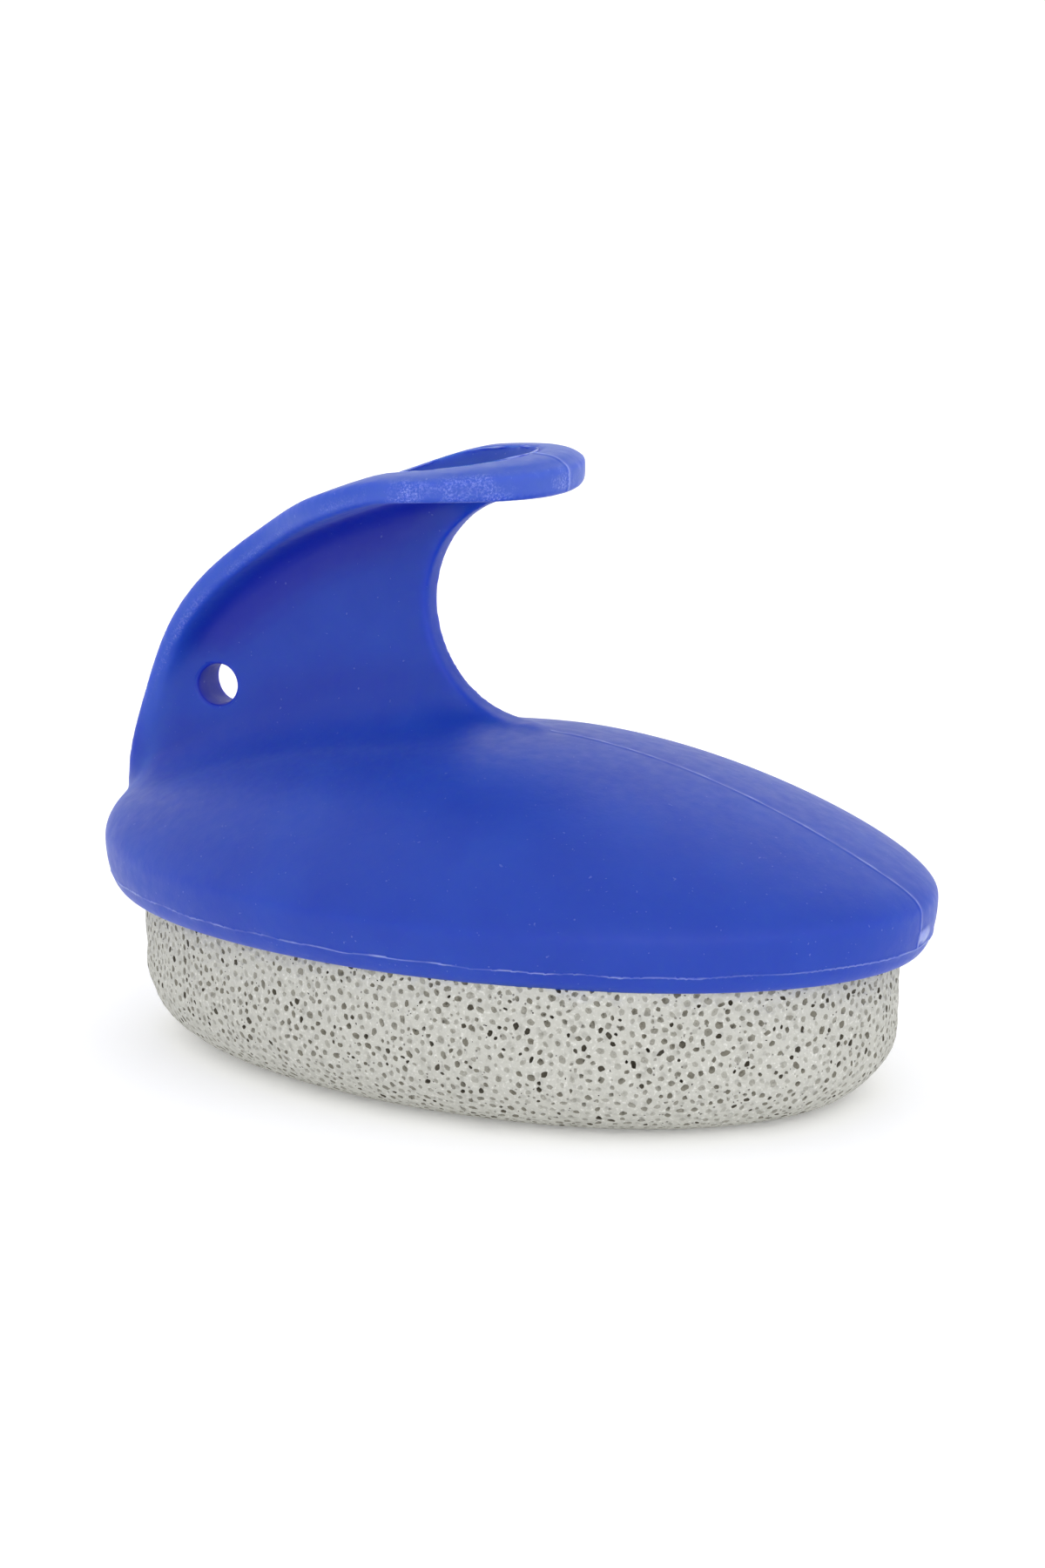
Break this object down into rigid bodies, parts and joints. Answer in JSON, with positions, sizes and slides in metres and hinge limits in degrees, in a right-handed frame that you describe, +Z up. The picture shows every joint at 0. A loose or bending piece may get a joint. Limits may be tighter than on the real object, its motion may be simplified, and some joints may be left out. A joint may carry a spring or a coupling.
{
  "type": "pumice stone with hook handle",
  "caption": "Oval block of porous pale pumice glued under a one-piece blue plastic handle: a dome with an upright fin, a finger gap, a tab with a finger rest and a hanging hole.",
  "frame": {"origin": "on the surface that the stone rests on, under the middle of the handle's outline", "axes": "+X along the length towards the handle's low nose, with the fin rising over the tail at -X; +Y across the width; +Z up, from the stone to the tab"},
  "size_m": [0.1, 0.0632, 0.0679],
  "materials": {
    "handle_plastic": "matt moulded blue plastic with fine parting lines and light scuffs along the flange",
    "pumice": "dry, matt and porous, full of open bubbles"
  },
  "bodies": {
    "root": {"handle": "handle_plastic", "stone": "pumice"}
  },
  "joints": []
}
